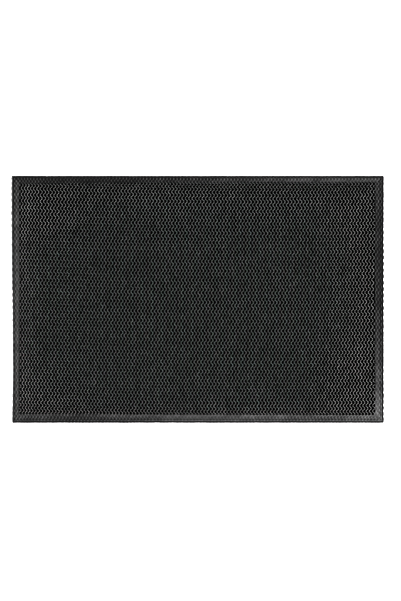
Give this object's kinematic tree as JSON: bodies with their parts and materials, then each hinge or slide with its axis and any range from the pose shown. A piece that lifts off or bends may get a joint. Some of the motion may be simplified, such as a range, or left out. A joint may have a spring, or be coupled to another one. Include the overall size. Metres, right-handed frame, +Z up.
{
  "type": "door mat",
  "caption": "Rectangular open-mesh door mat of welded black PVC zigzag strands with a flat hot-pressed rim on all four sides.",
  "frame": {"origin": "centre of the mat's rectangle, on the underside that lies on the floor", "axes": "+X along the mat's long side, to the right as the mat is seen from its front long edge; +Y across it, towards the rear long edge, along the strands; +Z up"},
  "size_m": [0.6, 0.4, 0.005],
  "materials": {
    "strand_pvc": "soft satin black flexible PVC, extruded, with fine grain and dust in its hollows",
    "rim_pvc": "satin black flexible PVC, hot-pressed flat, with the flattened strands showing in it"
  },
  "bodies": {
    "root": {"upper_strands_01": "strand_pvc", "upper_strands_02": "strand_pvc", "upper_strands_03": "strand_pvc", "upper_strands_04": "strand_pvc", "upper_strands_05": "strand_pvc", "upper_strands_06": "strand_pvc", "upper_strands_07": "strand_pvc", "upper_strands_08": "strand_pvc", "upper_strands_09": "strand_pvc", "upper_strands_10": "strand_pvc", "upper_strands_11": "strand_pvc", "upper_strands_12": "strand_pvc", "upper_strands_13": "strand_pvc", "upper_strands_14": "strand_pvc", "upper_strands_15": "strand_pvc", "upper_strands_16": "strand_pvc", "upper_strands_17": "strand_pvc", "upper_strands_18": "strand_pvc", "upper_strands_19": "strand_pvc", "upper_strands_20": "strand_pvc", "upper_strands_21": "strand_pvc", "upper_strands_22": "strand_pvc", "upper_strands_23": "strand_pvc", "upper_strands_24": "strand_pvc", "upper_strands_25": "strand_pvc", "upper_strands_26": "strand_pvc", "upper_strands_27": "strand_pvc", "lower_strands_01": "strand_pvc", "lower_strands_02": "strand_pvc", "lower_strands_03": "strand_pvc", "lower_strands_04": "strand_pvc", "lower_strands_05": "strand_pvc", "lower_strands_06": "strand_pvc", "lower_strands_07": "strand_pvc", "lower_strands_08": "strand_pvc", "lower_strands_09": "strand_pvc", "lower_strands_10": "strand_pvc", "lower_strands_11": "strand_pvc", "lower_strands_12": "strand_pvc", "lower_strands_13": "strand_pvc", "lower_strands_14": "strand_pvc", "lower_strands_15": "strand_pvc", "lower_strands_16": "strand_pvc", "lower_strands_17": "strand_pvc", "lower_strands_18": "strand_pvc", "lower_strands_19": "strand_pvc", "lower_strands_20": "strand_pvc", "lower_strands_21": "strand_pvc", "lower_strands_22": "strand_pvc", "lower_strands_23": "strand_pvc", "lower_strands_24": "strand_pvc", "lower_strands_25": "strand_pvc", "lower_strands_26": "strand_pvc", "lower_strands_27": "strand_pvc", "rim_front": "rim_pvc", "rim_right": "rim_pvc", "rim_rear": "rim_pvc", "rim_left": "rim_pvc"}
  },
  "joints": []
}
